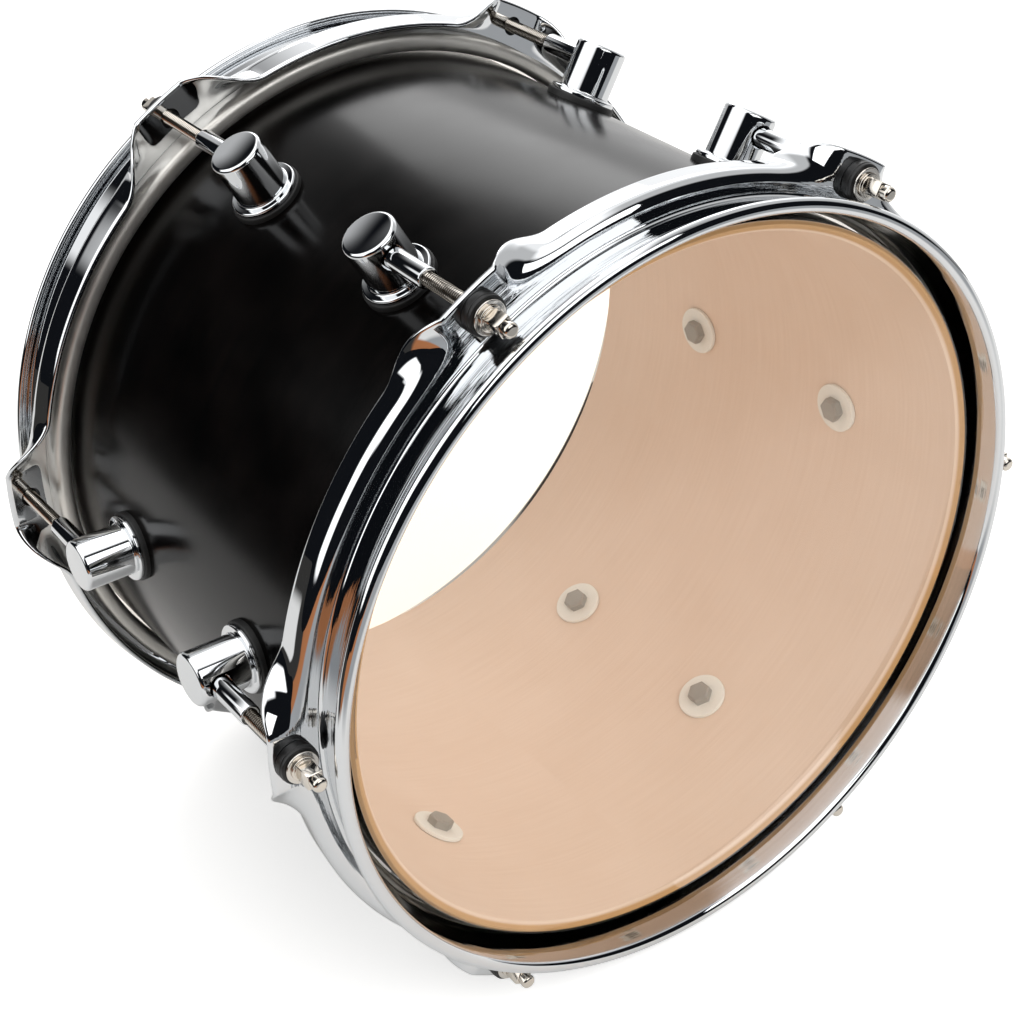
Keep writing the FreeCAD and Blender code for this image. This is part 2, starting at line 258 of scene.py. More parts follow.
blackNylon = makeMoulded("blackNylon", {"colour": "#0E0D0D", "roughness": 0.35, "grainSize": 0.6})
blackRubber = makeMoulded("blackRubber", {"colour": "#0A0A0A", "roughness": 0.5, "grainSize": 0.8})
stain = makeStain()
maple = makeMaple()
film = makeFilm()
print("materials made")


# Rounds an outline whose corners are (radius, height, size of the round)
def roundCorners(corners, steps=4):
    outline = []
    for index, (radius, height, size) in enumerate(corners):
        here = Vector((radius, height))
        if size == 0:
            outline.append((radius, height))
            continue
        before = (Vector(corners[index - 1][:2]) - here).normalized()
        after = (Vector(corners[(index + 1) % len(corners)][:2]) - here).normalized()
        half = before.angle(after) / 2
        centre = here + (before + after).normalized() * size / math.sin(half)
        start = here + before * size / math.tan(half) - centre
        end = here + after * size / math.tan(half) - centre
        first = math.atan2(start.y, start.x)
        swing = (math.atan2(end.y, end.x) - first + math.pi) % math.tau - math.pi
        for step in range(steps + 1):
            turn = first + swing * step / steps
            outline.append((centre.x + size * math.cos(turn), centre.y + size * math.sin(turn)))
    return outline


def arcPoints(centre, size, startDeg, endDeg, steps):
    turns = [math.radians(startDeg + (endDeg - startDeg) * step / steps) for step in range(steps + 1)]
    return [(centre[0] + size * math.cos(turn), centre[1] + size * math.sin(turn)) for turn in turns]


# Turns a closed outline of (radius, height) round the Z axis, with an unrolled UV map in mm
def turnOutline(outline, steps):
    work = bmesh.new()
    rings = []
    for step in range(steps):
        turn = math.pi + math.tau * step / steps
        rings.append([work.verts.new((r * math.cos(turn), r * math.sin(turn), h)) for r, h in outline])
    unrolled = work.loops.layers.uv.new("unrolled")
    count = len(outline)
    for step in range(steps):
        here, there = rings[step], rings[(step + 1) % steps]
        for index in range(count):
            after = (index + 1) % count
            if outline[index][0] < 1e-6 and outline[after][0] < 1e-6:
                continue
            face = work.faces.new((here[index], there[index], there[after], here[after]))
            for loop, side in zip(face.loops, (0, 1, 1, 0)):
                spread = drum["shellRadius"] * math.tau * (step + side) / steps
                loop[unrolled].uv = (spread, loop.vert.co.z)
    bmesh.ops.remove_doubles(work, verts=work.verts, dist=1e-5)
    bmesh.ops.recalc_face_normals(work, faces=work.faces)
    return work


def toMesh(work, name, material=None):
    mesh = bpy.data.meshes.new(name)
    work.to_mesh(mesh)
    work.free()
    if material:
        mesh.materials.append(material)
    return mesh


# Lays a mesh drawn in mm on its side of the drum and gives it its name, body and nodes
def placePiece(name, mesh, side, body, nodes, turnDeg=0.0, sharpDeg=35.0):
    flip = sides[side]
    lay = Matrix(((0, flip, 0, 0), (0, 0, flip, 0), (1, 0, 0, drum["axisHeight"]), (0, 0, 0, 1)))
    mesh.transform(Matrix.Scale(mm, 4) @ lay @ Matrix.Rotation(math.radians(turnDeg), 4, "Z"))
    mesh.shade_smooth()
    mesh.set_sharp_from_angle(angle=math.radians(sharpDeg))
    mesh.name = name
    piece = bpy.data.objects.new(name, mesh)
    bpy.context.scene.collection.objects.link(piece)
    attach(piece, body)
    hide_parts(*nodes)


# Evaluates a geometry node tree on a mesh and returns the result as a plain mesh
def runTree(tree, mesh, inputs):
    carrier = bpy.data.objects.new("carrier", mesh)
    bpy.context.scene.collection.objects.link(carrier)
    modifier = carrier.modifiers.new("shape", "NODES")
    modifier.node_group = tree
    for item in tree.interface.items_tree:
        if item.name in inputs:
            modifier[item.identifier] = inputs[item.name]
    depsgraph = bpy.context.evaluated_depsgraph_get()
    made = bpy.data.meshes.new_from_object(carrier.evaluated_get(depsgraph))
    carrier.modifiers.remove(modifier)
    bpy.data.objects.remove(carrier)
    return made


def newTree(name, sockets):
    tree = bpy.data.node_groups.new(name, "GeometryNodeTree")
    tree.interface.new_socket("Geometry", in_out="INPUT", socket_type="NodeSocketGeometry")
    for label, kind in sockets:
        tree.interface.new_socket(label, in_out="INPUT", socket_type="NodeSocket" + kind)
    tree.interface.new_socket("Geometry", in_out="OUTPUT", socket_type="NodeSocketGeometry")
    return tree, addNode(tree, "NodeGroupInput").outputs


# Ends a tree with plain geometry in its material
def endTree(tree, shape, finish):
    real = addNode(tree, "GeometryNodeRealizeInstances", {"Geometry": shape})
    dressed = addNode(tree, "GeometryNodeSetMaterial", {"Geometry": real.outputs[0], "Material": finish})
    addNode(tree, "NodeGroupOutput", {0: dressed.outputs[0]})
    return tree


# A place in a tree from its radius, angle and height
def turnedSpot(tree, radius, turn, height):
    x = addMath(tree, "MULTIPLY", radius, addMath(tree, "COSINE", turn))
    y = addMath(tree, "MULTIPLY", radius, addMath(tree, "SINE", turn))
    return addNode(tree, "ShaderNodeCombineXYZ", {0: x, 1: y, 2: height}).outputs[0]


# Values that the points of a section or path carry
def readFields(tree, *labels):
    return {label: addNode(tree, "GeometryNodeInputNamedAttribute", {"Name": label}).outputs[0] for label in labels}


# One piece drawn at the first place is set round the drum at every rod
def makeRingTree():
    tree, given = newTree("ring of pieces", [("Count", "Int"), ("Finish", "Material")])
    spots = addNode(tree, "GeometryNodePoints", {"Count": given["Count"]})
    index = addNode(tree, "GeometryNodeInputIndex")
    middle = addMath(tree, "ADD", index.outputs[0], 0.5)
    step = addMath(tree, "DIVIDE", math.tau, given["Count"])
    spin = addNode(tree, "ShaderNodeCombineXYZ", {2: addMath(tree, "MULTIPLY", middle, step)})
    copies = addNode(tree, "GeometryNodeInstanceOnPoints", {
        "Points": spots.outputs[0], "Instance": given["Geometry"], "Rotation": spin.outputs[0]})
    return endTree(tree, copies.outputs[0], given["Finish"])


ringTree = makeRingTree()

# Shell: one turned wall, stained outside, bare inside, with a bearing edge cut at both ends
shellForm = {"wall": 4.6, "land": 0.8, "round": 1.4, "bevelEdge": 0.6, "landEdge": 0.3, "outerEdge": 0.5,
             "stainLap": 0.15, "steps": 288}


def makeShell():
    outer = drum["shellRadius"]
    inner = outer - shellForm["wall"]
    half = drum["halfDepth"]
    landInner = outer - shellForm["round"] - shellForm["land"]
    bevel = landInner - inner
    top = [(inner, half - bevel, shellForm["bevelEdge"]), (landInner, half, shellForm["landEdge"])]
    top += [(outer - shellForm["round"], half, 0.0), (outer, half - shellForm["round"], shellForm["outerEdge"])]
    corners = [(r, -h, size) for r, h, size in top] + top[::-1]
    work = turnOutline(roundCorners(corners), shellForm["steps"])
    stainEdge = outer - shellForm["stainLap"]
    for face in work.faces:
        middle = face.calc_center_median()
        face.material_index = 0 if math.hypot(middle.x, middle.y) > stainEdge else 1
    mesh = toMesh(work, "shell", stain)
    mesh.materials.append(maple)
    placePiece("shellWood", mesh, "resonant", "drum", ["shell"])


makeShell()
print("shell made")

# Heads: the film stretched over the bearing edge, its collar drawn down into a channel ring
headForm = {"film": 0.3, "bendCentre": (149.4, 115.9), "bend": 1.6, "bendSteps": 8, "collar": 153.15, "seat": 105.8,
            "foot": 99.3, "steps": 288}
fleshForm = {"inner": 151.9, "outer": 159.3, "top": 105.8, "bottom": 96.3, "slot": 152.9, "slotWidth": 2.6,
             "slotDepth": 6.5, "round": 2.6, "lip": 0.2, "edge": 0.4}


def makeHeads():
    under, over = [], []
    for outline, layer in ((under, 0.0), (over, headForm["film"])):
        outline.append((0.0, drum["halfDepth"] + layer))
        outline += arcPoints(headForm["bendCentre"], headForm["bend"] + layer, 90, 0, headForm["bendSteps"])
        outline += [(headForm["collar"] + layer, headForm[place]) for place in ("seat", "foot")]
    inner, outer, slot, top, bottom = (fleshForm[key] for key in ("inner", "outer", "slot", "top", "bottom"))
    slotOuter = slot + fleshForm["slotWidth"]
    floor = top - fleshForm["slotDepth"]
    lip, roundSize = fleshForm["lip"], fleshForm["round"]
    corners = [(inner, top, lip), (slot, top, lip), (slot, floor, lip)]
    corners += [(slotOuter, floor, lip), (slotOuter, top, lip)]
    corners += [(outer, top, fleshForm["edge"]), (outer, bottom, roundSize), (inner, bottom, roundSize)]
    for side in sides:
        skin = toMesh(turnOutline(under + over[::-1], headForm["steps"]), "film", film)
        placePiece(side + "Film", skin, side, "drum", [side + "_film"])
        ring = toMesh(turnOutline(roundCorners(corners), headForm["steps"]), "flesh", fleshAluminium)
        placePiece(side + "FleshHoop", ring, side, "drum", [side + "_flesh_hoop"])


makeHeads()
print("heads made")

# Pressed hoop: rolled rim, leaning wall and flange, whose flap is flat at the ears and turned down between them
hoopForm = {"sheet": 2.2, "wall": 155.4, "leanDeg": 9.0, "flange": 106.9, "rimCentre": 126.4, "roll": 1.7,
            "fillet": 3.0, "root": 161.0, "flap": 15.2, "flapSteps": 16, "bendLength": 7.0, "skirtDeg": 97.0,
            "earHalfDeg": 3.97, "blendDeg": 9.76, "leastBend": 0.0001, "hole": 4.15, "holeDepth": 6.0,
            "holeSteps": 40, "rimSteps": (14, 8), "coveSteps": 8, "edgeSteps": 6, "rings": 720}


# A closed outline as edges, whose points carry their values for a node tree
def sectionMesh(name, points, labels):
    count = len(points)
    mesh = bpy.data.meshes.new(name)
    mesh.from_pydata([(point[0], 0, point[1]) for point in points], [(i, (i + 1) % count) for i in range(count)], [])
    for place, label in enumerate(labels):
        layer = mesh.attributes.new(label, "FLOAT", "POINT")
        layer.data.foreach_set("value", [point[place] for point in points])
    return mesh


# Three points on the straight wall between two arcs, then the second arc
def wallPoints(start, arc):
    ends = (Vector(start), Vector(arc[0]))
    return [tuple(ends[0].lerp(ends[1], share)) for share in (0.25, 0.5, 0.75)] + arc


# The section in its flat state: fixed points carry radius and height, flap points a run and an offset
def hoopSection():
    half = hoopForm["sheet"] / 2
    wall, flange, roll, fillet = (hoopForm[key] for key in ("wall", "flange", "roll", "fillet"))
    lean = math.radians(hoopForm["leanDeg"])
    turn = 180 - hoopForm["leanDeg"]
    cove = (wall + fillet, flange + fillet)
    rise = hoopForm["rimCentre"] - cove[1]
    easing = roll - fillet
    shift = easing * math.cos(lean) + math.tan(lean) * (rise + easing * math.sin(lean))
    rim = (cove[0] + shift, cove[1] + rise)
    (outerSteps, innerSteps), coveSteps, edgeSteps = (hoopForm[key] for key in ("rimSteps", "coveSteps", "edgeSteps"))
    fixed = arcPoints(rim, roll + half, 0, turn, outerSteps)
    fixed += wallPoints(fixed[-1], arcPoints(cove, fillet + half, turn, 270, coveSteps))
    points = [(r, h, 0.0, 0.0) for r, h in fixed]
    root, flap, steps = (hoopForm[key] for key in ("root", "flap", "flapSteps"))
    runs = [flap * step / steps for step in range(steps + 1)]
    points += [(root, flange, run, -half) for run in runs]
    edge = arcPoints((flap, 0.0), half, -90, 90, edgeSteps)[1:-1]
    points += [(root, flange, run, offset) for run, offset in edge]
    points += [(root, flange, run, half) for run in runs[::-1]]
    fixed = arcPoints(cove, fillet - half, 270, turn, coveSteps)
    fixed += wallPoints(fixed[-1], arcPoints(rim, roll - half, turn, 0, innerSteps))
    fixed += arcPoints((rim[0] + roll, rim[1]), half, 180, 360, edgeSteps)[1:-1]
    points += [(r, h, 0.0, 0.0) for r, h in fixed]
    return sectionMesh("hoop section", points, ("wide", "high", "run", "offset"))


def makeHoopTree():
    sockets = [("Rings", "Int"), ("Rods", "Int"), ("Bend Length", "Float"), ("Skirt Bend", "Float")]
    sockets += [("Ear Half Angle", "Float"), ("Blend Angle", "Float"), ("Rod Radius", "Float")]
    sockets += [("Flange Height", "Float"), ("Hole Radius", "Float"), ("Hole Depth", "Float"), ("Hole Steps", "Int")]
    sockets += [("Finish", "Material")]
    tree, given = newTree("pressed hoop", sockets)
    index = addNode(tree, "GeometryNodeInputIndex").outputs[0]
    ringStep = addMath(tree, "DIVIDE", math.tau, given["Rings"])
    turn = addMath(tree, "MULTIPLY", index, ringStep)
    circle = addNode(tree, "GeometryNodeCurvePrimitiveCircle", {"Resolution": given["Rings"]})
    path = addNode(tree, "GeometryNodeStoreNamedAttribute", {
        "Geometry": circle.outputs[0], "Name": "turn", "Value": turn})
    section = addNode(tree, "GeometryNodeMeshToCurve", {"Mesh": given["Geometry"]})
    swept = addNode(tree, "GeometryNodeCurveToMesh", {
        "Curve": path.outputs[0], "Profile Curve": section.outputs[0]})
    field = readFields(tree, "wide", "high", "run", "offset", "turn")
    # how far the flap is turned down at this angle: none at an ear, all of it between two ears
    pitch = addMath(tree, "DIVIDE", math.tau, given["Rods"])
    halfPitch = addMath(tree, "MULTIPLY", pitch, 0.5)
    inPitch = addMath(tree, "MODULO", field["turn"], pitch)
    away = addMath(tree, "ABSOLUTE", addMath(tree, "SUBTRACT", inPitch, halfPitch))
    blendEnd = addMath(tree, "ADD", given["Ear Half Angle"], given["Blend Angle"])
    share = addNode(tree, "ShaderNodeMapRange", {
        "Value": away, "From Min": given["Ear Half Angle"], "From Max": blendEnd}).outputs[0]
    square = addMath(tree, "MULTIPLY", share, share)
    rest = addMath(tree, "SUBTRACT", 1.0, share)
    law = addMath(tree, "MULTIPLY_ADD", rest, square, share)
    # the bend is never quite zero, since the bend length is divided by it
    bend = addMath(tree, "MULTIPLY_ADD", law, given["Skirt Bend"], hoopForm["leastBend"])
    # the flap follows an arc for the bend length and runs straight from there
    curved = addMath(tree, "MINIMUM", field["run"], given["Bend Length"])
    straight = addMath(tree, "SUBTRACT", field["run"], curved)
    size = addMath(tree, "DIVIDE", given["Bend Length"], bend)
    swing = addMath(tree, "DIVIDE", curved, size)
    sine = addMath(tree, "SINE", swing)
    cosine = addMath(tree, "COSINE", swing)
    arm = addMath(tree, "ADD", size, field["offset"])
    reachArc = addMath(tree, "MULTIPLY", arm, sine)
    reach = addMath(tree, "MULTIPLY_ADD", straight, cosine, reachArc)
    dropArc = addMath(tree, "MULTIPLY", size, addMath(tree, "SUBTRACT", 1.0, cosine))
    dropRun = addMath(tree, "MULTIPLY_ADD", straight, sine, dropArc)
    drop = addMath(tree, "SUBTRACT", dropRun, addMath(tree, "MULTIPLY", field["offset"], cosine))
    radius = addMath(tree, "ADD", field["wide"], reach)
    height = addMath(tree, "SUBTRACT", field["high"], drop)
    spot = turnedSpot(tree, radius, field["turn"], height)
    shaped = addNode(tree, "GeometryNodeSetPosition", {"Geometry": swept.outputs[0], "Position": spot})
    # the rod holes in the ears
    drill = addNode(tree, "GeometryNodeMeshCylinder", {
        "Vertices": given["Hole Steps"], "Radius": given["Hole Radius"], "Depth": given["Hole Depth"]})
    rodTurn = addMath(tree, "MULTIPLY_ADD", index, pitch, halfPitch)
    rodSpot = turnedSpot(tree, given["Rod Radius"], rodTurn, given["Flange Height"])
    rodPlaces = addNode(tree, "GeometryNodePoints", {"Count": given["Rods"], "Position": rodSpot})
    drills = addNode(tree, "GeometryNodeInstanceOnPoints", {
        "Points": rodPlaces.outputs[0], "Instance": drill.outputs[0]})
    drillMesh = addNode(tree, "GeometryNodeRealizeInstances", {"Geometry": drills.outputs[0]})
    drilled = addNode(tree, "GeometryNodeMeshBoolean", {
        "Mesh 1": shaped.outputs[0], "Mesh 2": drillMesh.outputs[0]}, operation="DIFFERENCE", solver="EXACT")
    return endTree(tree, drilled.outputs[0], given["Finish"])


def makeHoops():
    tree = makeHoopTree()
    inputs = {"Rings": hoopForm["rings"], "Rods": drum["rods"], "Bend Length": hoopForm["bendLength"],
              "Skirt Bend": math.radians(hoopForm["skirtDeg"]),
              "Ear Half Angle": math.radians(hoopForm["earHalfDeg"]),
              "Blend Angle": math.radians(hoopForm["blendDeg"]), "Rod Radius": drum["rodRadius"],
              "Flange Height": hoopForm["flange"], "Hole Radius": hoopForm["hole"],
              "Hole Depth": hoopForm["holeDepth"], "Hole Steps": hoopForm["holeSteps"], "Finish": hoopChrome}
    for side in sides:
        mesh = runTree(tree, hoopSection(), inputs)
        work = bmesh.new()
        work.from_mesh(mesh)
        bmesh.ops.remove_doubles(work, verts=work.verts, dist=1e-4)
        bmesh.ops.recalc_face_normals(work, faces=work.faces)
        work.to_mesh(mesh)
        work.free()
        placePiece(side + "Hoop", mesh, side, side + "_hoop_set", [side + "_hoop"])


makeHoops()
print("hoops made")

# Tension rods: a shaft with a rolled right-hand thread, a round flange, a square key and a round nose
rodForm = {"end": 60.4, "endEdge": 0.5, "flangeLow": 114.0, "flange": 4.8, "flangeHeight": 1.4, "flangeRim": 0.5,
           "flangeEdges": (0.25, 0.3), "step": 4.0, "stepFoot": 0.4, "stepEdge": 0.2, "square": 6.3,
           "squareHeight": 7.0, "squareCorner": 0.6, "nose": 3.0, "noseHeight": 4.0, "noseSink": 1.0, "noseTaper": 0.3,
           "noseRound": 1.5, "crest": 2.75, "root": 2.25, "sunk": 0.3, "pitch": 25.4 / 24, "threadTop": 109.5,
           "runOut": 0.5, "turnSteps": 26, "steps": 40, "noseSteps": 32}


def makeThreadTree():
    tree, given = newTree("rolled thread", [
        ("Steps", "Int"), ("Turns", "Float"), ("Pitch", "Float"), ("Start", "Float"), ("Finish", "Material")])
    line = addNode(tree, "GeometryNodeCurvePrimitiveLine", {"End": (0, 0, 1)})
    path = addNode(tree, "GeometryNodeResampleCurve", {"Curve": line.outputs[0], "Count": given["Steps"]})
    along = addNode(tree, "GeometryNodeSplineParameter")
    marked = addNode(tree, "GeometryNodeStoreNamedAttribute", {
        "Geometry": path.outputs[0], "Name": "share", "Value": along.outputs["Factor"]})
    section = addNode(tree, "GeometryNodeMeshToCurve", {"Mesh": given["Geometry"]})
    ridge = addNode(tree, "GeometryNodeCurveToMesh", {
        "Curve": marked.outputs[0], "Profile Curve": section.outputs[0], "Fill Caps": True})
    field = readFields(tree, "wide", "high", "share")
    turns = addMath(tree, "MULTIPLY", field["share"], given["Turns"])
    turn = addMath(tree, "MULTIPLY", turns, math.tau)
    base = addMath(tree, "ADD", field["high"], given["Start"])
    height = addMath(tree, "MULTIPLY_ADD", turns, given["Pitch"], base)
    spot = turnedSpot(tree, field["wide"], turn, height)
    wound = addNode(tree, "GeometryNodeSetPosition", {"Geometry": ridge.outputs[0], "Position": spot})
    return endTree(tree, wound.outputs[0], given["Finish"])


# A 60 degree tooth with a narrow crest, its foot sunk into the core and its flanks split at mid depth
def threadSection():
    crest, root, pitch = (rodForm[key] for key in ("crest", "root", "pitch"))
    flat = pitch / 16
    foot = flat + (crest - root) * math.tan(math.radians(30))
    flank = [(root - rodForm["sunk"], foot), (root, foot), ((root + crest) / 2, (flat + foot) / 2), (crest, flat)]
    places = [(r, -h) for r, h in flank] + flank[::-1]
    return sectionMesh("thread section", places, ("wide", "high"))


def makeRods():
    low = rodForm["flangeLow"]
    mid = low + rodForm["flangeHeight"]
    top = mid + rodForm["squareHeight"]
    tip = top + rodForm["noseHeight"]
    start = rodForm["end"] + rodForm["pitch"]
    turns = (rodForm["threadTop"] - start) / rodForm["pitch"]
    inputs = {"Steps": int(turns * rodForm["turnSteps"]), "Turns": turns, "Pitch": rodForm["pitch"], "Start": start,
              "Finish": rodNickel}
    thread = runTree(makeThreadTree(), threadSection(), inputs)
    root, crest = rodForm["root"], rodForm["crest"]
    end, threadTop, flange, step = (rodForm[key] for key in ("end", "threadTop", "flange", "step"))
    shaft = [(0.0, end, 0.0), (root, end, rodForm["endEdge"]), (root, threadTop, 0.0)]
    lowEdge, rimEdge = rodForm["flangeEdges"]
    shaft += [(crest, threadTop + rodForm["runOut"], 0.0), (crest, low, 0.0), (flange, low, lowEdge)]
    shaft += [(flange, mid - rodForm["flangeRim"], rimEdge), (step, mid - rodForm["stepFoot"], 0.0)]
    shaft += [(step, mid, rodForm["stepEdge"]), (0.0, mid, 0.0)]
    foot = top - rodForm["noseSink"]
    nose = [(0.0, foot, 0.0), (rodForm["nose"] - rodForm["noseTaper"], foot, 0.0)]
    nose += [(rodForm["nose"], tip, rodForm["noseRound"]), (0.0, tip, 0.0)]
    for side in sides:
        for number in range(1, drum["rods"] + 1):
            work = turnOutline(roundCorners(shaft), rodForm["steps"])
            work.from_mesh(toMesh(turnOutline(roundCorners(nose, steps=6), rodForm["noseSteps"]), "nose"))
            block = bmesh.ops.create_cube(work, size=1.0)
            for vert in block["verts"]:
                vert.co.x *= rodForm["square"]
                vert.co.y *= rodForm["square"]
                vert.co.z = mid + (vert.co.z + 0.5) * rodForm["squareHeight"]
            edges = {edge for vert in block["verts"] for edge in vert.link_edges}
            bmesh.ops.bevel(
                work, geom=list(edges), offset=rodForm["squareCorner"], segments=3, profile=0.5, affect="EDGES")
            work.from_mesh(thread)
            for face in work.faces:  # grease and painted shade lie below mid depth of the thread
                middle = face.calc_center_median()
                deep = math.hypot(middle.x, middle.y) < (root + crest) / 2
                face.material_index = int(deep and middle.z < threadTop)
            bmesh.ops.recalc_face_normals(work, faces=work.faces)
            bmesh.ops.translate(work, verts=work.verts, vec=(drum["rodRadius"], 0, 0))
            mesh = toMesh(work, "rod", rodNickel)
            mesh.materials.append(threadGreaseAndShade)
            placePiece(f"{side}Rod{number}", mesh, side, f"{side}_tension_rod_{number}",
                       [f"{side}_rod_{number}"], turnDeg=360 / drum["rods"] * (number - 0.5), sharpDeg=25.0)


makeRods()
print("rods made")


# Sets one piece, drawn at angle 0, round its side of the drum at every rod
def placeRing(name, work, finish, side, body, nodes):
    mesh = runTree(ringTree, toMesh(work, name), {"Count": drum["rods"], "Finish": finish})
    placePiece(side + name, mesh, side, body, nodes)


# Turns a piece drawn round Z to point outward from the drum axis at the lug row
def setRadial(work):
    toRadial = Matrix.Translation((0, 0, lugForm["row"])) @ Matrix.Rotation(math.radians(90), 4, "Y")
    bmesh.ops.transform(work, matrix=toRadial, verts=work.verts)
    return work


# Washers on each ear: a thick nylon cushion with a shallow groove, and a steel washer under the rod flange. The
# groove's corners lie (inset, drop, size of the round) from the cushion's upper edge.
washerForm = {"cushion": 7.7, "low": 108.0, "mid": 112.8, "top": 114.0, "steel": 6.4, "bore": 2.95, "edge": 0.5,
              "boreEdge": 0.2, "groove": [(0.0, 1.7, 0.2), (0.35, 1.4, 0.15), (0.1, 1.1, 0.2)], "topInset": 0.3,
              "steelEdge": 0.3, "steelBoreEdge": 0.1, "steps": 56}


def makeWashers():
    low, mid, top, bore = (washerForm[key] for key in ("low", "mid", "top", "bore"))
    wide, edge, boreEdge = (washerForm[key] for key in ("cushion", "edge", "boreEdge"))
    cushion = [(bore, low, boreEdge), (wide, low, edge)]
    cushion += [(wide - inset, mid - drop, size) for inset, drop, size in washerForm["groove"]]
    cushion += [(wide - washerForm["topInset"], mid, edge), (bore, mid, boreEdge)]
    wide, edge, boreEdge = (washerForm[key] for key in ("steel", "steelEdge", "steelBoreEdge"))
    steel = [(bore, mid, boreEdge), (wide, mid, edge), (wide, top, edge), (bore, top, boreEdge)]
    for side in sides:
        for name, corners, finish, slot, node in (
                ("CushionWashers", cushion, blackNylon, "black_plastic", "_cushion_washers"),
                ("SteelWashers", steel, washerSteel, "washer_steel", "_steel_washers")):
            work = turnOutline(roundCorners(corners), washerForm["steps"])
            bmesh.ops.translate(work, verts=work.verts, vec=(drum["rodRadius"], 0, 0))
            placeRing(name, work, finish, side, side + "_hoop_set", [side + node])


makeWashers()
print("washers made")

# Turret lugs: a round tower with a rounded crown on a base flange, drilled for the swivel nut
lugForm = {"row": 46.4, "base": 152.9, "top": 175.7, "body": 10.6, "crown": 1.6, "flange": 13.7, "flangeHeight": 2.0,
           "baseEdge": 0.3, "deckEdge": 0.8, "fillet": 0.8, "socket": 4.8, "socketDepth": 20.0, "socketMiddle": 15.0,
           "socketSteps": 48, "steps": 96}
nutForm = {"radius": 4.15, "low": 42.4, "end": 78.0, "bore": 2.83, "boreDepth": 6.0, "edges": (0.3, 0.6, 0.15),
           "steps": 48}


def makeDrillTree():
    tree, given = newTree("drilled lug", [
        ("Radius", "Float"), ("Depth", "Float"), ("Place", "Vector"), ("Finish", "Material")])
    drill = addNode(tree, "GeometryNodeMeshCylinder", {
        "Vertices": lugForm["socketSteps"], "Radius": given["Radius"], "Depth": given["Depth"]})
    moved = addNode(tree, "GeometryNodeTransform", {"Geometry": drill.outputs[0], "Translation": given["Place"]})
    cut = addNode(tree, "GeometryNodeMeshBoolean", {
        "Mesh 1": given["Geometry"], "Mesh 2": moved.outputs[0]}, operation="DIFFERENCE", solver="EXACT")
    return endTree(tree, cut.outputs[0], given["Finish"])


def makeLugs():
    base, top, body, flange = (lugForm[key] for key in ("base", "top", "body", "flange"))
    deck = base + lugForm["flangeHeight"]
    tower = [(0.0, base, 0.0), (flange, base, lugForm["baseEdge"]), (flange, deck, lugForm["deckEdge"])]
    tower += [(body, deck, lugForm["fillet"]), (body, top, lugForm["crown"]), (0.0, top, 0.0)]
    radius, low, end, bore = (nutForm[key] for key in ("radius", "low", "end", "bore"))
    boreFloor = end - nutForm["boreDepth"]
    lowEdge, endEdge, boreEdge = nutForm["edges"]
    sleeve = [(0.0, low, 0.0), (radius, low, lowEdge), (radius, end, endEdge), (bore, end, boreEdge)]
    sleeve += [(bore, boreFloor, 0.0), (0.0, boreFloor, 0.0)]
    drillTree = makeDrillTree()
    drilling = {"Radius": lugForm["socket"], "Depth": lugForm["socketDepth"], "Finish": lugChrome,
                "Place": (drum["rodRadius"], 0.0, lugForm["row"] + lugForm["socketMiddle"])}
    for side in sides:
        blank = setRadial(turnOutline(roundCorners(tower, steps=6), lugForm["steps"]))
        work = bmesh.new()
        work.from_mesh(runTree(drillTree, toMesh(blank, "lug"), drilling))
        nodes = [f"{side}_lug_{number}" for number in range(1, drum["rods"] + 1)]
        placeRing("Lugs", work, lugChrome, side, "drum", nodes)
        nut = turnOutline(roundCorners(sleeve), nutForm["steps"])
        bmesh.ops.translate(nut, verts=nut.verts, vec=(drum["rodRadius"], 0, 0))
        placeRing("SwivelNuts", nut, lugChrome, side, "drum", [side + "_swivel_nuts"])


makeLugs()
print("lugs made")

# What holds a lug to the shell: a rubber gasket outside, a hex screw and a round washer inside
holdForm = {"gasket": 14.5, "gasketTop": 152.9, "gasketEdge": 0.6, "gasketSteps": 72, "washer": 11.0,
            "washerFace": 144.2, "washerSeat": 145.9, "washerEdges": (0.2, 0.4), "washerSteps": 56, "bore": 2.9,
            "screwHead": 5.54, "headLow": 140.4, "headEdge": (0.9, 0.6), "headSides": 6}


# Bends the face of a radial piece that lies at the wall's radius to the round of the wall
def seatOnWall(work, wall):
    for vert in work.verts:
        if abs(vert.co.x - wall) < 0.01:
            vert.co.x = math.sqrt(wall * wall - vert.co.y * vert.co.y)
    return work


def makeHolds():
    wall = drum["shellRadius"]
    top, edge, bore = (holdForm[key] for key in ("gasketTop", "gasket", "bore"))
    gasket = [(bore, wall, 0.0), (edge, wall, 0.0), (edge, top, holdForm["gasketEdge"]), (bore, top, 0.0)]
    face = holdForm["washerFace"]
    edge, seat = holdForm["washer"], holdForm["washerSeat"]
    boreEdge, faceEdge = holdForm["washerEdges"]
    washer = [(bore, face, boreEdge), (edge, face, faceEdge), (edge, seat, 0.0), (bore, seat, 0.0)]
    low, head = holdForm["headLow"], holdForm["screwHead"]
    inset, drop = holdForm["headEdge"]
    hexHead = [(0.0, low, 0.0), (head - inset, low, 0.0), (head, low + drop, 0.0)]
    hexHead += [(head, face, 0.0), (0.0, face, 0.0)]
    for side in sides:
        work = seatOnWall(setRadial(turnOutline(roundCorners(gasket), holdForm["gasketSteps"])), wall)
        placeRing("LugGaskets", work, blackRubber, side, "drum", [side + "_lug_gaskets"])
        work = seatOnWall(setRadial(turnOutline(roundCorners(washer), holdForm["washerSteps"])), seat)
        placeRing("ScrewWashers", work, washerZinc, side, "drum", [side + "_screw_washers"])
        work = setRadial(turnOutline(roundCorners(hexHead), holdForm["headSides"]))
        placeRing("LugScrews", work, screwZinc, side, "drum", [side + "_lug_screws"])


makeHolds()
print("gaskets, screws and inner washers made")

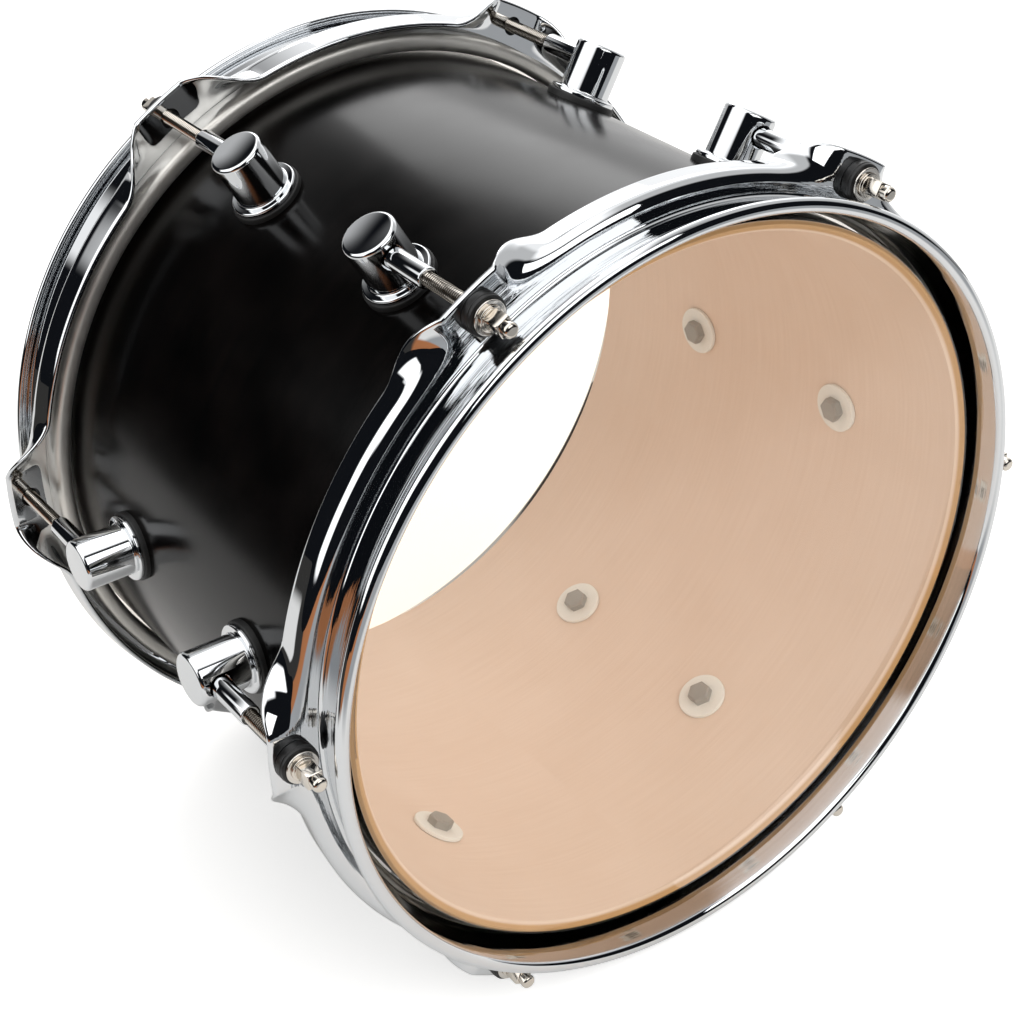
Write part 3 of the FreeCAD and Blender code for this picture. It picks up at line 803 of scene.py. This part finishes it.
# Stage: a pale floor that reads white to the camera and keeps the soft shadow. To mirrors it is dim beyond the
# paper's left and front edges, and wood brown at the front left.
stageForm = {"floor": 2.8, "colour": "#F2F1EF", "leftDim": "#3A3938", "frontDim": "#A2A4A6", "board": "#B4764F",
             "leftEdge": (-0.52, -0.64), "frontEdge": (-0.36, -0.5), "boardEdge": (-0.2, -0.32), "lift": 0.52}


def makeStage():
    material, tree = newMaterial("paleFloor")
    ray = addNode(tree, "ShaderNodeLightPath")
    place = addNode(tree, "ShaderNodeTexCoord")
    parts = addNode(tree, "ShaderNodeSeparateXYZ", {0: place.outputs["Object"]})
    mirrored = ray.outputs["Is Glossy Ray"]
    share = {}
    for label, axis, most in (("leftEdge", "X", mirrored), ("frontEdge", "Y", mirrored), ("boardEdge", "Y", 1.0)):
        share[label] = addNode(tree, "ShaderNodeMapRange", {
            "Value": parts.outputs[axis], "From Min": stageForm[label][0], "From Max": stageForm[label][1],
            "To Min": 0.0, "To Max": most}, interpolation_type="SMOOTHSTEP").outputs["Result"]
    near = addNode(tree, "ShaderNodeMix", {
        "Factor": share["frontEdge"], 6: hexToLinear(stageForm["colour"]),
        7: hexToLinear(stageForm["frontDim"])}, data_type="RGBA")
    far = addNode(tree, "ShaderNodeMix", {
        "Factor": share["boardEdge"], 6: hexToLinear(stageForm["leftDim"]),
        7: hexToLinear(stageForm["board"])}, data_type="RGBA")
    colour = addNode(tree, "ShaderNodeMix", {
        "Factor": share["leftEdge"], 6: near.outputs[2], 7: far.outputs[2]}, data_type="RGBA")
    paper = addNode(tree, "ShaderNodeBsdfDiffuse", {"Color": colour.outputs[2]})
    seen = addMath(tree, "MULTIPLY", ray.outputs["Is Camera Ray"], stageForm["lift"])
    white = addNode(tree, "ShaderNodeEmission", {"Strength": seen})
    both = addNode(tree, "ShaderNodeAddShader", {0: paper.outputs[0], 1: white.outputs[0]})
    addNode(tree, "ShaderNodeOutputMaterial", {"Surface": both.outputs[0]})
    half = stageForm["floor"] / 2
    mesh = bpy.data.meshes.new("floor")
    mesh.from_pydata([(-half, -half, 0), (half, -half, 0), (half, half, 0), (-half, half, 0)], [], [(0, 1, 2, 3)])
    mesh.materials.append(material)
    floor = bpy.data.objects.new("floor", mesh)
    bpy.context.scene.collection.objects.link(floor)


# Surroundings: white to the camera and an even fill for matt surfaces. Mirrors see a dark room with white
# panels. A panel is bright inside its edges, each an axis of the unit sphere with a dark and a bright place.
worldForm = {"room": "#14161A", "fill": 1.17}
panelForms = {
    "behind": (0.75, [("X", -0.25, -0.12), ("Y", 0.0, 0.4), ("Z", 0.64, 0.5)]),
    "sheen": (0.7, [("X", -0.3, 0.3), ("Y", 0.2, 0.45), ("Y", 0.76, 0.7), ("Z", 0.3, 0.5)]),
    "right": (0.85, [("X", 0.12, 0.36), ("Y", -0.35, -0.2), ("Z", -0.3, 0.0)]),
    "overhead": (2.2, [("X", 0.4, 0.2), ("Y", -0.22, -0.14), ("Y", 0.63, 0.55), ("Z", 0.02, 0.08)]),
    "far": (1.5, [("X", -0.5, -0.6), ("Y", 0.48, 0.56), ("Y", 0.71, 0.66), ("Z", 0.28, 0.36)]),
    "crown": (2.2, [("X", 0.4, 0.2), ("Y", -0.46, -0.34), ("Y", -0.14, -0.22), ("Z", 0.5, 0.6)]),
}


def makeWorld():
    world = bpy.data.worlds.new("studio")
    bpy.context.scene.world = world
    world.use_nodes = True
    tree = world.node_tree
    tree.nodes.clear()
    place = addNode(tree, "ShaderNodeTexCoord")
    parts = addNode(tree, "ShaderNodeSeparateXYZ", {0: place.outputs["Generated"]})
    room = addNode(tree, "ShaderNodeBackground", {"Color": hexToLinear(worldForm["room"])})
    for level, edges in panelForms.values():
        for axis, dark, bright in edges:
            fade = addNode(tree, "ShaderNodeMapRange", {
                "Value": parts.outputs[axis], "From Min": dark, "From Max": bright, "To Min": 0.0, "To Max": level},
                interpolation_type="SMOOTHSTEP")
            level = fade.outputs["Result"]
        panel = addNode(tree, "ShaderNodeBackground", {"Strength": level})
        room = addNode(tree, "ShaderNodeAddShader", {0: room.outputs[0], 1: panel.outputs[0]})
    fill = addNode(tree, "ShaderNodeBackground", {"Strength": worldForm["fill"]})
    white = addNode(tree, "ShaderNodeBackground", {"Strength": 1.0})
    ray = addNode(tree, "ShaderNodeLightPath")
    lit = addNode(tree, "ShaderNodeMixShader", {
        0: ray.outputs["Is Glossy Ray"], 1: fill.outputs[0], 2: room.outputs[0]})
    mixed = addNode(tree, "ShaderNodeMixShader", {
        0: ray.outputs["Is Camera Ray"], 1: lit.outputs[0], 2: white.outputs[0]})
    addNode(tree, "ShaderNodeOutputWorld", {"Surface": mixed.outputs[0]})


# Softboxes: name, place and aim in metres, size, power in watts
lightForms = [
    {"name": "aboveCamera", "place": (0.1, -1.5, 1.5), "aim": (0, 0, 0.17), "size": (1.7, 1.1), "power": 12.5},
    {"name": "backRight", "place": (1.2, 1.7, 1.4), "aim": (0, 0, 0.17), "size": (1.3, 0.9), "power": 7.5},
]


def makeLights():
    for form in lightForms:
        light = bpy.data.lights.new(form["name"], "AREA")
        light.shape = "RECTANGLE"
        light.size, light.size_y = form["size"]
        light.energy = form["power"]
        lamp = bpy.data.objects.new(form["name"], light)
        lamp.location = form["place"]
        lamp.rotation_euler = (Vector(form["aim"]) - lamp.location).to_track_quat("-Z", "Y").to_euler()
        bpy.context.scene.collection.objects.link(lamp)


# Camera solved on the rods, lugs and rims of the photograph
viewForm = {"azimuth": -34.931, "elevation": 32.805, "roll": -1.670, "distance": 853.64, "aside": 0.5,
            "above": -17.19, "lens": 71.33, "sensor": 36.0}


def makeCamera():
    azimuth, elevation, roll = (math.radians(viewForm[key]) for key in ("azimuth", "elevation", "roll"))
    flat = math.cos(elevation)
    back = Vector((math.sin(azimuth) * flat, -math.cos(azimuth) * flat, math.sin(elevation)))
    level = Vector((0, 0, 1)).cross(back).normalized()
    upright = back.cross(level)
    right = level * math.cos(roll) + upright * math.sin(roll)
    up = upright * math.cos(roll) - level * math.sin(roll)
    place = right * viewForm["aside"] + up * viewForm["above"] + back * viewForm["distance"]
    place = (place + Vector((0, 0, drum["axisHeight"]))) * mm
    camera = bpy.data.cameras.new("camera")
    camera.lens = viewForm["lens"]
    camera.sensor_width = viewForm["sensor"]
    eye = bpy.data.objects.new("camera", camera)
    eye.matrix_world = Matrix.Translation(place) @ Matrix((right, up, back)).transposed().to_4x4()
    bpy.context.scene.collection.objects.link(eye)
    bpy.context.scene.camera = eye


makeStage()
makeWorld()
makeLights()
makeCamera()
bpy.context.scene.view_settings.view_transform = "Standard"
print("stage, lights and camera set")
